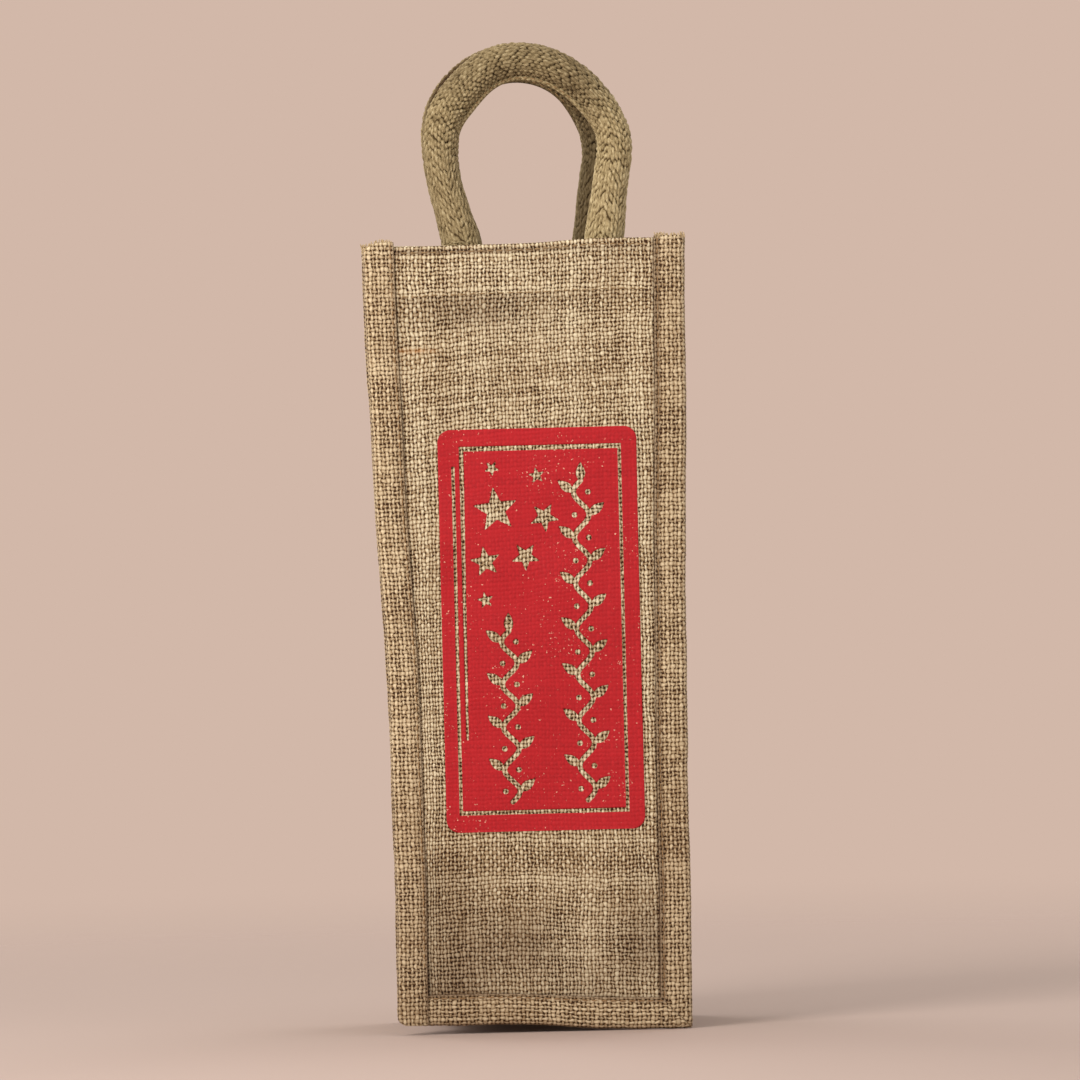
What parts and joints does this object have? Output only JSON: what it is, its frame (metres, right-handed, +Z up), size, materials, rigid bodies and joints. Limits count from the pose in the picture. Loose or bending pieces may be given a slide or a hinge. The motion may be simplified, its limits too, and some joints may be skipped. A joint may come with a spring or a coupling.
{
  "type": "wine gift bag",
  "caption": "Tall jute gift bag for a wine bottle, with bound seam flanges, a turned-in hem, padded webbing loop handles and a festive printed panel.",
  "frame": {"origin": "on the floor, under the middle of the bag, where the bottom flanges stand", "axes": "+Z up, printed front towards -Y, +X to the right of someone facing the front"},
  "size_m": [0.146, 0.1058, 0.4556],
  "materials": {
    "jute_cloth": "plain-woven natural jute, matte and hairy",
    "jute_tape": "folded jute binding, matte",
    "webbing": "coarse woven cotton and jute webbing, matte",
    "filler": "twisted fibre cord, matte",
    "thread": "sewing thread, matte",
    "ink": "screen-printed ink soaked into the weave, matte"
  },
  "bodies": {
    "root": {"gusset_strip": "jute_cloth", "left_gusset_hem_seam": "thread", "right_gusset_hem_seam": "thread"},
    "front": {"front_panel": "jute_cloth", "front_binding": "jute_tape", "front_binding_seam": "thread", "front_hem_seam": "thread", "front_handle_ends": "webbing", "front_handle_end_stitches": "thread", "front_print": "ink"},
    "back": {"back_panel": "jute_cloth", "back_binding": "jute_tape", "back_binding_seam": "thread", "back_hem_seam": "thread", "back_handle_ends": "webbing", "back_handle_end_stitches": "thread"},
    "front_handle": {"front_handle_cover": "webbing", "front_handle_core": "filler", "front_handle_seam": "thread"},
    "back_handle": {"back_handle_cover": "webbing", "back_handle_core": "filler", "back_handle_seam": "thread"}
  },
  "joints": [
    {"name": "front_lean", "type": "hinge", "parent": "root", "child": "front", "pos_m": [0, -0.05, 0.014], "axis": [-1, 0, 0], "range_deg": [0, 3.9], "deforming": ["gusset_strip", "left_gusset_hem_seam", "right_gusset_hem_seam"]},
    {"name": "back_lean", "type": "hinge", "parent": "root", "child": "back", "pos_m": [0, 0.05, 0.014], "axis": [1, 0, 0], "range_deg": [0, 3.9]},
    {"name": "front_handle_swing", "type": "hinge", "parent": "front", "child": "front_handle", "pos_m": [0, -0.05, 0.36], "axis": [1, 0, 0], "range_deg": [0, 170]},
    {"name": "back_handle_swing", "type": "hinge", "parent": "back", "child": "back_handle", "pos_m": [0, 0.05, 0.36], "axis": [-1, 0, 0], "range_deg": [0, 170]}
  ],
  "couplings": [
    {"joint": "back_lean", "follows": "front_lean", "ratio": 1}
  ]
}
